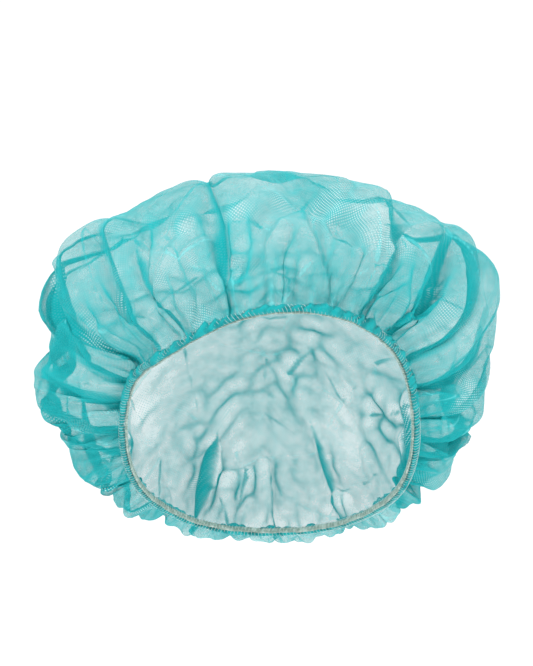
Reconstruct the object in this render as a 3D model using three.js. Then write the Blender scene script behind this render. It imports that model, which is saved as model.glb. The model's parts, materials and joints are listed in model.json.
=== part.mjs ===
// A disposable bouffant hair cover, puffed out as it is worn: a round sheet of thin nonwoven
// whose edge is gathered all round into a stitched hem, with a flat elastic inside the hem.
// Millimetres and degrees. +Z is up, -Y is the wearer's front, and the origin is the middle of
// the opening that the elastic holds open. The opening's plane leans, high at the brow and low
// at the nape, so every piece is modelled flat to that plane and the whole cap is then turned.
import * as THREE from "three";

// The opening, measured inside the elastic.
const OPENING_WIDTH = 154;
const OPENING_LENGTH = 220;
const OPENING_TILT = 34;
const HEM_WAVE = 10;

// The elastic: a flat band that stands against the head.
const ELASTIC_HEIGHT = 3.2;
const ELASTIC_THICKNESS = 1.4;

// The hem: the sheet's edge, bunched up and sewn round the elastic.
// Its lips stand at LIP_PLACE of the way through its thickness, and frill at every other column.
const HEM_HEIGHT = 6.4;
const HEM_THICKNESS = 2.6;
const HEM_FRILL = 1.1;
const HEM_CLEARANCE = 0.3;
const LIP_PLACE = 0.35;

// The puffed crown.
const SHEET_WALL = 1.2;
const SHEET_CLEARANCE = 0.3;
const CROWN_HEIGHT = 132;
const PUFF_WIDTH = 262;
const PUFF_LENGTH = 268;
const FOLD_DEPTH = 10;
const DENT_DEPTH = 10;
const GATHER_DEPTH = 2;
const GATHER_COUNT = 48;
const GATHER_SPAN = 0.34;

// The mesh: columns round the opening, two for each gather, and rows from the hem to the top.
const COLUMNS = 2 * GATHER_COUNT;
const ROWS = 24;

// The cap's outline, a row for each direction round the opening from the brow (0) past the
// wearer's left ear (90) and the nape (180). rise is how far the hem waves off the opening's
// plane, as a share of HEM_WAVE. reach is the puff's widest point as a share of its own oval,
// level the height of that point as a share of the crown's, lift the angle at which the sheet
// leaves the hem, and belly and shoulder how full the curve is below and above that point.
const SECTIONS = [
  { at: 0, rise: 0.0, reach: 1.0, level: 0.32, lift: 30, belly: 0.55, shoulder: 0.5 },
  { at: 30, rise: 0.8, reach: 1.01, level: 0.38, lift: 26, belly: 0.55, shoulder: 0.46 },
  { at: 60, rise: 0.8, reach: 1.01, level: 0.5, lift: 20, belly: 0.5, shoulder: 0.4 },
  { at: 90, rise: -0.7, reach: 0.93, level: 0.6, lift: 14, belly: 0.4, shoulder: 0.38 },
  { at: 120, rise: -1.2, reach: 0.92, level: 0.58, lift: 2, belly: 0.42, shoulder: 0.5 },
  { at: 150, rise: -0.6, reach: 0.98, level: 0.5, lift: -10, belly: 0.5, shoulder: 0.56 },
  { at: 180, rise: 0.0, reach: 1.03, level: 0.44, lift: -18, belly: 0.56, shoulder: 0.6 },
  { at: 210, rise: -0.5, reach: 1.02, level: 0.5, lift: -12, belly: 0.52, shoulder: 0.56 },
  { at: 240, rise: -1.0, reach: 0.98, level: 0.52, lift: -4, belly: 0.48, shoulder: 0.5 },
  { at: 270, rise: -0.6, reach: 0.98, level: 0.46, lift: 0, belly: 0.55, shoulder: 0.42 },
  { at: 300, rise: 0.1, reach: 1.02, level: 0.46, lift: 14, belly: 0.55, shoulder: 0.43 },
  { at: 330, rise: -0.75, reach: 1.01, level: 0.38, lift: 26, belly: 0.55, shoulder: 0.47 },
];

// The main folds, a row for each crease: at is its direction at the hem, lean how far it drifts
// on its way up, from and to its ends as shares of the way from the hem to the top, wide its
// half width in degrees, and deep its depth as a share of FOLD_DEPTH. A ridge is negative.
const FOLDS = [
  { at: 4, lean: 3, from: 0.04, to: 0.62, wide: 9, deep: 0.45 },
  { at: 30, lean: -6, from: 0.04, to: 0.5, wide: 8, deep: 0.6 },
  { at: 52, lean: -4, from: 0.05, to: 0.7, wide: 9, deep: 0.5 },
  { at: 76, lean: 6, from: 0.05, to: 0.6, wide: 9, deep: 0.6 },
  { at: 98, lean: -4, from: 0.06, to: 0.75, wide: 9, deep: -0.4 },
  { at: 114, lean: 3, from: 0.06, to: 0.6, wide: 9, deep: 0.65 },
  { at: 138, lean: 8, from: 0.06, to: 0.7, wide: 10, deep: 0.5 },
  { at: 160, lean: -5, from: 0.06, to: 0.66, wide: 10, deep: 0.6 },
  { at: 184, lean: 4, from: 0.06, to: 0.72, wide: 11, deep: 0.5 },
  { at: 206, lean: 6, from: 0.06, to: 0.6, wide: 10, deep: 0.6 },
  { at: 228, lean: -6, from: 0.06, to: 0.68, wide: 10, deep: 0.6 },
  { at: 251, lean: 4, from: 0.05, to: 0.66, wide: 9, deep: 0.7 },
  { at: 276, lean: -5, from: 0.05, to: 0.55, wide: 9, deep: 0.9 },
  { at: 296, lean: -8, from: 0.05, to: 0.7, wide: 9, deep: 0.7 },
  { at: 318, lean: -4, from: 0.05, to: 0.6, wide: 8, deep: 0.45 },
  { at: 341, lean: 2, from: 0.04, to: 0.55, wide: 8, deep: 0.55 },
];

// Dents (and, where negative, lobes) that are as tall as they are wide: up is the share of the
// way from the hem to the top, tall the half height as such a share, wide in degrees.
const DENTS = [
  { at: 76, up: 0.43, tall: 0.12, wide: 26, deep: -0.9 },
  { at: 62, up: 0.58, tall: 0.08, wide: 22, deep: 0.7 },
  { at: 100, up: 0.3, tall: 0.07, wide: 16, deep: 0.5 },
  { at: 112, up: 0.18, tall: 0.09, wide: 18, deep: -0.6 },
  { at: 12, up: 0.74, tall: 0.13, wide: 26, deep: -0.9 },
  { at: 334, up: 0.76, tall: 0.1, wide: 30, deep: 1.0 },
  { at: 306, up: 0.6, tall: 0.12, wide: 24, deep: 0.5 },
  { at: 280, up: 0.42, tall: 0.13, wide: 26, deep: -0.6 },
  { at: 281, up: 0.28, tall: 0.05, wide: 20, deep: 1.0 },
  { at: 272, up: 0.21, tall: 0.08, wide: 22, deep: -1.1 },
  { at: 258, up: 0.1, tall: 0.06, wide: 16, deep: 0.8 },
  { at: 246, up: 0.14, tall: 0.1, wide: 18, deep: -0.4 },
  { at: 200, up: 0.7, tall: 0.16, wide: 36, deep: 0.5 },
  { at: 160, up: 0.5, tall: 0.16, wide: 26, deep: 0.5 },
];

const GRID_TURN = 360;
const HALF_TURN = 180;
const radians = (degrees) => (degrees * Math.PI) / HALF_TURN;
const lerp = THREE.MathUtils.lerp;

// A column of SECTIONS at any direction, by a smooth closed curve through its rows.
function section(column, direction) {
  const count = SECTIONS.length;
  const step = GRID_TURN / count;
  const place = (((direction % GRID_TURN) + GRID_TURN) % GRID_TURN) / step;
  const row = Math.floor(place);
  const t = place - row;
  const value = (k) => SECTIONS[(row + k + count) % count][column];
  const [before, here, next, after] = [value(-1), value(0), value(1), value(2)];
  const pull = (next - before) / 2;
  const push = (after - here) / 2;
  const rise = next - here;
  return here + t * (pull + t * (3 * rise - 2 * pull - push + t * (pull + push - 2 * rise)));
}

// The distance from the middle to an oval's edge in a direction.
function oval(width, length, direction) {
  const across = Math.sin(radians(direction)) / (width / 2);
  const along = Math.cos(radians(direction)) / (length / 2);
  return 1 / Math.hypot(across, along);
}

// The elastic's inner face, the hem's inner face and the sheet's edge, from the middle.
const elasticInside = (direction) => oval(OPENING_WIDTH, OPENING_LENGTH, direction);
const hemInside = (direction) => elasticInside(direction) + ELASTIC_THICKNESS + HEM_CLEARANCE;
const sheetEdge = (direction) => hemInside(direction) + HEM_THICKNESS + SHEET_CLEARANCE;

// How far the hem and all that is sewn to it wave off the opening's plane.
const hemRise = (direction) => HEM_WAVE * section("rise", direction);

// One rib of the puff: from the hem out to the widest point, then over to the top, as two
// curves in the plane that holds the opening's axis. x runs outwards and y along the axis.
function rib(direction) {
  const edge = new THREE.Vector2(sheetEdge(direction), hemRise(direction));
  const reach = oval(PUFF_WIDTH, PUFF_LENGTH, direction) * section("reach", direction);
  const widest = new THREE.Vector2(reach, CROWN_HEIGHT * section("level", direction));
  const top = new THREE.Vector2(0, CROWN_HEIGHT);
  const lift = radians(section("lift", direction));
  const belly = section("belly", direction);
  const shoulder = section("shoulder", direction);
  const leave = edge.distanceTo(widest) * belly;
  const curve = new THREE.CurvePath();
  curve.add(
    new THREE.CubicBezierCurve(
      edge,
      new THREE.Vector2(edge.x + leave * Math.cos(lift), edge.y + leave * Math.sin(lift)),
      new THREE.Vector2(widest.x, widest.y - leave),
      widest,
    ),
  );
  curve.add(
    new THREE.CubicBezierCurve(
      widest,
      new THREE.Vector2(widest.x, lerp(widest.y, top.y, shoulder)),
      new THREE.Vector2(widest.x * shoulder, top.y),
      top,
    ),
  );
  return curve;
}

// How far two directions lie apart, in degrees.
const apart = (a, b) => Math.abs(THREE.MathUtils.euclideanModulo(a - b + HALF_TURN, GRID_TURN) - HALF_TURN);

// How far the folds and dents push the sheet outwards at a place.
function relief(direction, up) {
  let push = 0;
  for (const fold of FOLDS) {
    const along = (up - fold.from) / (fold.to - fold.from);
    if (along <= 0 || along >= 1) continue;
    const off = apart(direction, fold.at + fold.lean * along) / fold.wide;
    push -= FOLD_DEPTH * fold.deep * Math.max(0, 1 - off) * Math.sin(Math.PI * Math.sqrt(along));
  }
  for (const dent of DENTS) {
    const off = Math.hypot(apart(direction, dent.at) / dent.wide, (up - dent.up) / dent.tall);
    push -= DENT_DEPTH * dent.deep * Math.max(0, 1 - off ** 2) ** 2;
  }
  return push;
}

// Fills a mesh from a grid of closed loops that are joined in order. A loop of one point closes
// an end, and with closed set the last loop joins the first.
function loft(loops, closed = false) {
  const places = loops.flat();
  const starts = [];
  let count = 0;
  for (const loop of loops) {
    starts.push(count);
    count += loop.length;
  }
  const faces = [];
  const bands = closed ? loops.length : loops.length - 1;
  for (let k = 0; k < bands; k++) {
    const [low, high] = [loops[k], loops[(k + 1) % loops.length]];
    const [lowStart, highStart] = [starts[k], starts[(k + 1) % loops.length]];
    const around = Math.max(low.length, high.length);
    for (let i = 0; i < around; i++) {
      const next = (i + 1) % around;
      const [a, b] = low.length > 1 ? [lowStart + i, lowStart + next] : [lowStart, lowStart];
      const [d, c] = high.length > 1 ? [highStart + i, highStart + next] : [highStart, highStart];
      if (a !== b) faces.push(a, b, c);
      if (c !== d) faces.push(a, c, d);
    }
  }
  const geometry = new THREE.BufferGeometry();
  geometry.setAttribute(
    "position",
    new THREE.Float32BufferAttribute(places.flatMap((p) => [p.x, p.y, p.z]), 3),
  );
  geometry.setIndex(faces);
  geometry.computeVertexNormals();
  return geometry;
}

// A point in a direction round the opening, at a distance from the axis and a height on it.
function onRib(direction, distance, height) {
  return new THREE.Vector3(
    distance * Math.sin(radians(direction)),
    -distance * Math.cos(radians(direction)),
    height,
  );
}

const directions = Array.from({ length: COLUMNS }, (_, i) => (GRID_TURN * i) / COLUMNS);

// The crown: a thin wall that follows the ribs, with the folds, dents and gathers pressed into
// both faces alike, so that the wall stays whole.
function crownGeometry() {
  const outer = [];
  const inner = [];
  const ribs = directions.map(rib);
  for (let row = 0; row < ROWS; row++) {
    const up = row / ROWS;
    const [outside, inside] = [[], []];
    directions.forEach((direction, i) => {
      const place = ribs[i].getPointAt(up);
      const way = ribs[i].getTangentAt(Math.max(up, 1e-3));
      const edgeShare = Math.min(1, up / GATHER_SPAN);
      // The sheet's edge is cut square to the hem, and the wall turns square to the rib above it.
      const normal = new THREE.Vector2(way.y, -way.x).lerp(new THREE.Vector2(0, -1), (1 - edgeShare) ** 4);
      normal.normalize();
      const gather = GATHER_DEPTH * (1 - edgeShare) * (i % 2 ? 1 : -1);
      const shift = relief(direction, up) + gather;
      outside.push(onRib(direction, place.x + normal.x * shift, place.y + normal.y * shift));
      const under = shift - SHEET_WALL;
      inside.push(onRib(direction, place.x + normal.x * under, place.y + normal.y * under));
    });
    outer.push(outside);
    inner.push(inside);
  }
  const tip = (depth) => [new THREE.Vector3(0, 0, CROWN_HEIGHT - depth)];
  return loft([tip(SHEET_WALL), ...inner.reverse(), ...outer, tip(0)]);
}

// A ring that follows the hem's wave, from its section at a column as [outwards, height] pairs.
function ringGeometry(sectionAt) {
  const loops = directions.map((direction, i) =>
    sectionAt(direction, i).map(([out, height]) => onRib(direction, out, hemRise(direction) + height)),
  );
  return loft(loops, true);
}

// The hem: a ruched collar round the elastic, whose lips are frilled at every other column.
function hemGeometry() {
  const half = HEM_HEIGHT / 2;
  return ringGeometry((direction, i) => {
    const frill = i % 2 ? HEM_FRILL : 0;
    const inside = hemInside(direction);
    const outside = inside + HEM_THICKNESS;
    const lip = inside + HEM_THICKNESS * LIP_PLACE;
    return [
      [inside, half - HEM_FRILL],
      [lip, half + frill],
      [outside - frill / 2, half - HEM_FRILL],
      [outside, 0],
      [outside - frill / 2, HEM_FRILL - half],
      [lip, -half - frill],
      [inside, HEM_FRILL - half],
    ];
  });
}

// The elastic: a plain flat band.
function elasticGeometry() {
  const half = ELASTIC_HEIGHT / 2;
  return ringGeometry((direction) => {
    const inside = elasticInside(direction);
    const outside = inside + ELASTIC_THICKNESS;
    return [
      [inside, half],
      [outside, half],
      [outside, -half],
      [inside, -half],
    ];
  });
}

const SHEET_FINISH = { color: 0x3fbfc4, roughness: 0.75, metalness: 0, side: THREE.DoubleSide };
const HEM_FINISH = { color: 0x12aeb6, roughness: 0.85, metalness: 0 };
const ELASTIC_FINISH = { color: 0x8fb5ac, roughness: 0.8, metalness: 0 };

function piece(name, geometry, finish) {
  const mesh = new THREE.Mesh(geometry, new THREE.MeshStandardMaterial(finish));
  mesh.name = name;
  return mesh;
}

const cap = new THREE.Group();
cap.rotation.x = radians(-OPENING_TILT);
cap.add(piece("crown", crownGeometry(), SHEET_FINISH));
cap.add(piece("gathered_hem", hemGeometry(), HEM_FINISH));
cap.add(piece("elastic_band", elasticGeometry(), ELASTIC_FINISH));

export default cap;
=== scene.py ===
"""A disposable bouffant hair cap of thin teal nonwoven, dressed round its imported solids.

The crown is one round sheet, simulated: it is laid over the cap's form and gathered into the
hem, and keeps its flat size by crumpling. Once it has settled, its folds and facets are creased
a little further along their own lines. All lengths are in metres, +Z up, -Y the brow.
"""
import functools
import json
import math

import bpy
import numpy as np
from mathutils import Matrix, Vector
from mathutils.bvhtree import BVHTree
from mathutils.geometry import delaunay_2d_cdt


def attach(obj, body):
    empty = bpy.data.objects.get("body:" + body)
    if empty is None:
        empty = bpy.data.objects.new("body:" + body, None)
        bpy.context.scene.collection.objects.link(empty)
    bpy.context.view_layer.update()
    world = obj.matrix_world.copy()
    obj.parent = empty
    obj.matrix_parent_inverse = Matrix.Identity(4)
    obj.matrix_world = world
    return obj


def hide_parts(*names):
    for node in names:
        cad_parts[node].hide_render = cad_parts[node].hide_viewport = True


bl_info = {
    "name": "Bouffant Hair Cap",
    "version": (1, 0, 0),
    "blender": (4, 5, 0),
    "location": "View3D > Sidebar > Hair Cap",
    "description": "Builds a puffed nonwoven hair cap with its gathered hem, elastic and stitching",
    "category": "Add Mesh",
}

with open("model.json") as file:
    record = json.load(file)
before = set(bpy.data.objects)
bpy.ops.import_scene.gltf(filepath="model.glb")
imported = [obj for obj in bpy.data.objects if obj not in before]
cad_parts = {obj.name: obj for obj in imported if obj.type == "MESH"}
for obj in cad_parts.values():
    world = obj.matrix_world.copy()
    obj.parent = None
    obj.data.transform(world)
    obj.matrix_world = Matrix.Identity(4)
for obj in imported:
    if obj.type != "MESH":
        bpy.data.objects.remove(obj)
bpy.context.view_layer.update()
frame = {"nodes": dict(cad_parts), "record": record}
ROOT = "root"

# The opening's own frame: its axis leans back, and is read from the mount at its middle.
OUT_OF_MOUTH = np.array(frame["record"]["mounts"][0]["axis"])
UP_AXIS = -OUT_OF_MOUTH / np.linalg.norm(OUT_OF_MOUTH)
SIDE_AXIS = np.array([1.0, 0.0, 0.0])
FORE_AXIS = np.cross(SIDE_AXIS, UP_AXIS)
MM = 0.001

# The main folds that run up from the hem: where they start, in degrees from the brow towards
# the wearer's left, how wide they are there, how far up they lean, their share of the way to
# the top, and how much of the sheet they draw in.
MAIN_FOLDS = (
    # turn, wide, lean, reach, draw
    (-24, 5, -6, 0.34, 0.60),
    (-36, 5, -6, 0.75, 0.70),
    (-52, 6, -12, 0.42, 0.62),
    (-67, 7, 22, 0.62, 0.86),
    (-80, 9, 30, 0.64, 0.94),
    (-96, 12, 36, 0.60, 0.94),
    (-109, 7, 24, 0.50, 0.80),
    (-124, 7, 14, 0.50, 0.80),
    (-140, 6, 9, 0.40, 0.66),
    (-158, 5, -8, 0.52, 0.74),
    (176, 4, 6, 0.42, 0.60),
    (158, 5, 11, 0.54, 0.74),
    (141, 6, -9, 0.40, 0.70),
    (124, 8, 7, 0.48, 0.80),
    (109, 5, -6, 0.36, 0.72),
    (97, 7, 8, 0.46, 0.80),
    (84, 5, -4, 0.34, 0.70),
    (72, 7, 10, 0.44, 0.76),
    (58, 6, -7, 0.80, 0.86),
    (45, 6, 6, 0.50, 0.70),
    (28, 5, 2, 0.70, 0.64),
    (19, 4, -7, 0.36, 0.52),
    (4, 4, 5, 0.26, 0.45),
    (-10, 5, -10, 0.70, 0.66),
)


def length_setting(name, description, default):
    """A length that a user may change, in metres."""
    return bpy.props.FloatProperty(name=name, description=description, default=default, unit="LENGTH")


def share_setting(name, description, default):
    """A share of one that a user may change."""
    return bpy.props.FloatProperty(
        name=name, description=description, default=default, min=0.0, max=1.0, subtype="FACTOR")


def count_setting(name, description, default):
    """A whole number that a user may change."""
    return bpy.props.IntProperty(name=name, description=description, default=default)


def colour_setting(name, description, default):
    """A colour that a user may change."""
    return bpy.props.FloatVectorProperty(
        name=name, description=description, default=default, size=3, subtype="COLOR")


class CapSheetSettings(bpy.types.PropertyGroup):
    """The round sheet and how it crumples."""

    flat_diameter: length_setting("Flat diameter", "The round sheet's size before it is gathered", 0.533)
    slack: share_setting("Slack", "Share of its length that the sheet's mesh keeps", 0.985)
    fine_gathers: share_setting(
        "Fine gathers", "How much of what the folds draw in is too fine to model", 0.45)
    fold_depth: length_setting("Fold depth", "How far the folds may fall in from the cap's outline", 0.020)
    facets: count_setting("Facets", "Corners of the sheet's flat crumple facets", 190)
    facet_height: length_setting("Facet height", "How far the facets' corners stand off the form", 0.0120)
    smoothing: count_setting("Smoothing", "Rounds of smoothing after the sheet has settled", 30)
    sharpness: length_setting(
        "Sharpness", "How far the facets' corners are drawn out after settling", 0.0040)
    fold_edge: length_setting(
        "Fold edge", "How far the main folds are creased in once the sheet has settled", 0.011)
    bulge: length_setting("Bulge", "How far creases may stand past the cap's outline", 0.003)
    small_folds: count_setting("Small folds", "Short folds between the main ones", 70)
    gathers: count_setting("Gathers", "Small pleats round the hem", 132)
    gather_depth: length_setting("Gather depth", "How deep the small pleats are at the hem", 0.0030)
    rings: count_setting("Rings", "Rings of the sheet's mesh, halved twice for the first passes", 160)
    clearness: share_setting("Clearness", "Share of the light that passes one flat layer", 0.54)
    seed: count_setting("Seed", "Seed of the crumples", 7)
    colour: colour_setting("Colour", "The nonwoven's colour", (0.003, 0.43, 0.45))


def to_local(points):
    """Points in the opening's own frame: side, fore and up its axis."""
    return np.stack([points @ SIDE_AXIS, points @ FORE_AXIS, points @ UP_AXIS], axis=-1)


def to_world(points):
    """The way back from to_local."""
    side, fore, up = points[..., 0:1], points[..., 1:2], points[..., 2:3]
    return side * SIDE_AXIS + fore * FORE_AXIS + up * UP_AXIS


def mesh_arrays(obj):
    """An object's vertices and triangles as arrays."""
    mesh = obj.data
    places = np.empty(len(mesh.vertices) * 3)
    mesh.vertices.foreach_get("co", places)
    mesh.calc_loop_triangles()
    corners = np.empty(len(mesh.loop_triangles) * 3, dtype=np.int32)
    mesh.loop_triangles.foreach_get("vertices", corners)
    return places.reshape(-1, 3), corners.reshape(-1, 3)


def blur_round(grid, sigma):
    """Smooths rows of a grid that closes on itself along its first axis."""
    count = grid.shape[0]
    waves = np.fft.rfftfreq(count)
    weight = np.exp(-2.0 * (math.pi * sigma * waves) ** 2)
    weight = weight.reshape(-1, *([1] * (grid.ndim - 1)))
    return np.fft.irfft(np.fft.rfft(grid, axis=0) * weight, n=count, axis=0)


def read_ring(line, spot):
    """Rows of a closed line, read between its points."""
    low = np.floor(spot).astype(int)
    part = (spot - low)[:, None]
    return line[low % len(line)] * (1 - part) + line[(low + 1) % len(line)] * part


def read_grid(grid, across, down):
    """Values of a grid that closes on itself along its first axis, read between its points."""
    i, j = np.floor(across).astype(int), np.floor(down).astype(int)
    s, t = across - i, down - j
    if grid.ndim > 2:
        s, t = s[:, None], t[:, None]
    near, nxt = i % len(grid), (i + 1) % len(grid)
    after = np.minimum(j + 1, grid.shape[1] - 1)
    low = grid[near, j] * (1 - s) + grid[nxt, j] * s
    high = grid[near, after] * (1 - s) + grid[nxt, after] * s
    return low * (1 - t) + high * t


def steps_round(turn, count):
    """Turns in radians as places among so many steps round the axis."""
    return (turn % (2 * math.pi)) / (2 * math.pi) * count


def bearings(ways):
    """Turn and tilt of ways from the form's centre, in radians, and their lengths."""
    flat = np.hypot(ways[:, 0], ways[:, 1])
    return np.arctan2(ways[:, 0], ways[:, 1]), np.arctan2(ways[:, 2], flat), np.hypot(flat, ways[:, 2])


class CapForm:
    """The cap's outer form, read off the crown solid as a distance in each direction from a
    point inside it, and the line of the hem."""

    TURNS = 360
    TILTS = 120
    LOWEST = math.radians(-34.0)
    CENTRE = np.array([0.0, 0.0, 0.040])
    MIDDLE_LEAN = math.radians(11.0)
    HEM_STEPS = 96
    RIB_STEPS = 160
    RIB_SAMPLES = 240
    BLUR = 3.0
    # A rib leaves the hem at its own place and has joined the form this far on.
    JOINED = math.radians(10.0)
    # Rays are cast inwards from this far out, clear of the whole cap.
    FAR = 0.5

    def __init__(self):
        self.hem_line = self.read_hem()
        self.reach = self.read_reach()
        self.lines = self.ribs()

    def read_hem(self):
        """The hem's mid line, as a distance from the axis and a height on it at each turn."""
        places, _ = mesh_arrays(frame["nodes"]["gathered_hem"])
        local = to_local(places)
        turn = np.degrees(np.arctan2(local[:, 0], local[:, 1])) % 360.0
        spot = np.round(turn / (360.0 / self.HEM_STEPS)).astype(int) % self.HEM_STEPS
        line = np.zeros((self.HEM_STEPS, 2))
        for k in range(self.HEM_STEPS):
            own = local[spot == k]
            line[k] = [np.hypot(own[:, 0], own[:, 1]).mean(), own[:, 2].mean()]
        line = read_ring(line, np.arange(self.TURNS) * self.HEM_STEPS / self.TURNS)
        return blur_round(line, self.BLUR)

    def read_reach(self):
        """The outer form's distance from the centre, by turn and tilt."""
        places, triangles = mesh_arrays(frame["nodes"]["crown"])
        tree = BVHTree.FromPolygons(places.tolist(), triangles.tolist())
        centre = to_world(self.CENTRE)
        tilts = np.linspace(self.LOWEST, math.pi / 2, self.TILTS)
        reach = np.zeros((self.TURNS, self.TILTS))
        for i in range(self.TURNS):
            turn = math.radians(i * 360.0 / self.TURNS)
            for j, tilt in enumerate(tilts):
                level = math.cos(tilt)
                way = to_world(np.array([level * math.sin(turn), level * math.cos(turn), math.sin(tilt)]))
                hit = tree.ray_cast(Vector(centre + way * self.FAR), Vector(-way), self.FAR)
                reach[i, j] = self.FAR - hit[3] if hit[0] is not None else 0.0
            known = reach[i] > 0
            reach[i] = np.interp(tilts, tilts[known], reach[i][known])
        return blur_round(reach, self.BLUR)

    def steps_up(self, tilt, count):
        """Tilts in radians as places among so many steps from the lowest one to the top."""
        return (tilt - self.LOWEST) / (math.pi / 2 - self.LOWEST) * (count - 1)

    def distance(self, turn, tilt):
        """The form's distance in a direction from the centre; both angles in radians."""
        up = np.clip(self.steps_up(tilt, self.TILTS), 0, self.TILTS - 1.001)
        return read_grid(self.reach, steps_round(turn, self.TURNS), up)

    def ribs(self):
        """Lines over the form from the hem to the sheet's middle, evenly spaced, one for each
        turn. The middle lies back from the opening's axis, so all of them are about as long."""
        lines = np.zeros((self.TURNS, self.RIB_STEPS, 3))
        top = np.array([0.0, -math.sin(self.MIDDLE_LEAN), math.cos(self.MIDDLE_LEAN)])
        part = np.linspace(0, 1, self.RIB_SAMPLES)
        for i, turn in enumerate(np.radians(np.arange(self.TURNS) * 360.0 / self.TURNS)):
            out, height = self.hem_line[i]
            start = np.array([out * math.sin(turn), out * math.cos(turn), height]) - self.CENTRE
            first = np.linalg.norm(start)
            whole = math.acos(np.clip(start @ top / first, -1, 1))
            ways = np.sin((1 - part) * whole)[:, None] * start / first
            ways = (ways + np.sin(part * whole)[:, None] * top) / math.sin(whole)
            reach = self.distance(*bearings(ways)[:2])
            share = np.clip(part * whole / self.JOINED, 0, 1)
            reach = first + (reach - first) * share * share * (3 - 2 * share)
            line = ways * reach[:, None] + self.CENTRE
            length = np.concatenate([[0], np.cumsum(np.linalg.norm(np.diff(line, axis=0), axis=1))])
            even = np.linspace(0, length[-1], self.RIB_STEPS)
            for k in range(3):
                lines[i, :, k] = np.interp(even, length, line[:, k])
        return lines


@functools.cache
def cap_form():
    """The cap's form, read once for all the pieces that follow it."""
    return CapForm()


def ring_start(k):
    """The first vertex of a round sheet's ring k, which has 6k of them."""
    return np.where(k == 0, 0, 1 + 3 * k * (k - 1))


def ring_layout(rings):
    """A round sheet's vertices as ring and angle, and its triangles."""
    ring = np.concatenate([[0]] + [np.full(6 * k, k) for k in range(1, rings + 1)])
    angle = np.concatenate([[0.0]] + [np.arange(6 * k) / (6 * k) for k in range(1, rings + 1)])
    faces = []
    for k in range(1, rings + 1):
        side = np.arange(6 * k)
        sector, step = side // k, side % k
        outer = ring_start(k)
        nxt = outer + (side + 1) % (6 * k)
        if k == 1:
            faces.append(np.stack([outer + side, nxt, np.zeros_like(side)], axis=1))
            continue
        inner, inner_count = ring_start(k - 1), 6 * (k - 1)
        below = inner + (sector * (k - 1) + np.minimum(step, k - 1)) % inner_count
        after = inner + (sector * (k - 1) + step + 1) % inner_count
        faces.append(np.stack([outer + side, nxt, below], axis=1))
        faces.append(np.stack([nxt, after, below], axis=1)[step < k - 1])
    return ring, angle, np.concatenate(faces)


def sides_of(faces):
    """The three sides of every triangle, each as its two corners in order."""
    return np.sort(np.concatenate([faces[:, [0, 1]], faces[:, [1, 2]], faces[:, [2, 0]]]), axis=1)


def edges_of(faces):
    """Each edge of the triangles once."""
    return np.unique(sides_of(faces), axis=0)


def bend_pairs(faces):
    """The two far corners of each pair of triangles that share an edge."""
    pairs = sides_of(faces)
    far = np.concatenate([faces[:, 2], faces[:, 0], faces[:, 1]])
    order = np.lexsort((pairs[:, 1], pairs[:, 0]))
    pairs, far = pairs[order], far[order]
    same = (pairs[1:] == pairs[:-1]).all(axis=1)
    return np.stack([far[:-1][same], far[1:][same]], axis=1)


def add_up(count, index, values):
    """Sums vectors by the vertex that they belong to."""
    return np.stack([np.bincount(index, weights=values[:, k], minlength=count) for k in range(3)], axis=1)


def neighbour_mean(places, edges):
    """The mean of each vertex's neighbours."""
    count = len(places)
    first, second = edges[:, 0], edges[:, 1]
    total = add_up(count, first, places[second]) + add_up(count, second, places[first])
    return total / np.bincount(edges.ravel(), minlength=count)[:, None]


def triangle_normals(places, faces):
    """Each triangle's normal, as long as twice its area."""
    a, b, c = (places[faces[:, k]] for k in range(3))
    return np.cross(b - a, c - a)


def vertex_normals(places, faces):
    """Unit normals at the vertices, towards the cap's outside."""
    normal = triangle_normals(places, faces)
    total = sum(add_up(len(places), faces[:, k], normal) for k in range(3))
    total /= np.maximum(np.linalg.norm(total, axis=1), 1e-12)[:, None]
    outward = (total * (places - CapForm.CENTRE)).sum(axis=1)
    return total * np.sign(outward.sum())


def refine(coarse, rings, fine_ring, fine_angle):
    """Values on a sheet of so many rings, read at the places of a sheet of twice as many."""
    place = fine_ring / 2.0
    low = np.minimum(np.floor(place).astype(int), rings)
    high = np.minimum(low + 1, rings)
    part = (place - low)[:, None]

    def on_ring(k):
        start, count = ring_start(k), np.maximum(6 * k, 1)
        along = fine_angle * count
        step = np.floor(along + 1e-9).astype(int)
        share = (along - step)[:, None]
        return coarse[start + step % count] * (1 - share) + coarse[start + (step + 1) % count] * share

    return on_ring(low) * (1 - part) + on_ring(high) * part


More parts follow.
